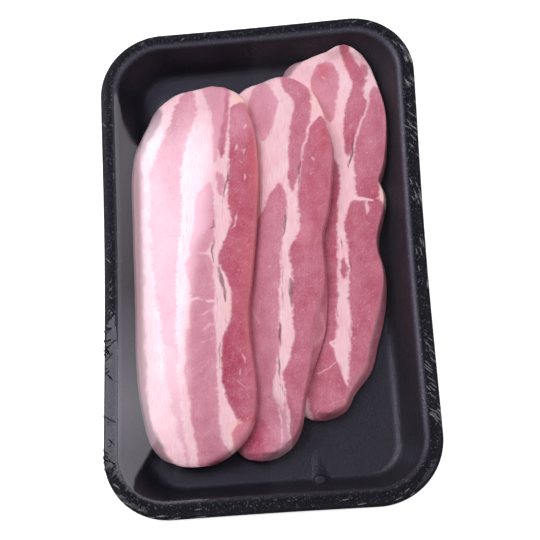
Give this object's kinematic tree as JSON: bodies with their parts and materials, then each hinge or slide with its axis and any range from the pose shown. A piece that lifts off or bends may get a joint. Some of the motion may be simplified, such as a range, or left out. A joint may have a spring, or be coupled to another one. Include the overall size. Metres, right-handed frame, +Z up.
{
  "type": "pack of sliced pork belly",
  "caption": "Black foam tray of raw streaky pork belly slices, laid overlapping along the tray and sealed under clear stretch film.",
  "frame": {"origin": "middle of the underside of the pack, on the surface that it lies on", "axes": "+Z up out of the tray, +Y along the pack towards its far end, +X across it towards the lowest slice"},
  "size_m": [0.1396, 0.2198, 0.021],
  "materials": {
    "foam": "black expanded polystyrene with fine bead speckle",
    "belly": null,
    "film": "clear glossy stretch film"
  },
  "bodies": {
    "root": {"tray": "foam", "slice_left": "belly", "slice_middle": "belly", "slice_right": "belly", "film": "film"}
  },
  "joints": []
}
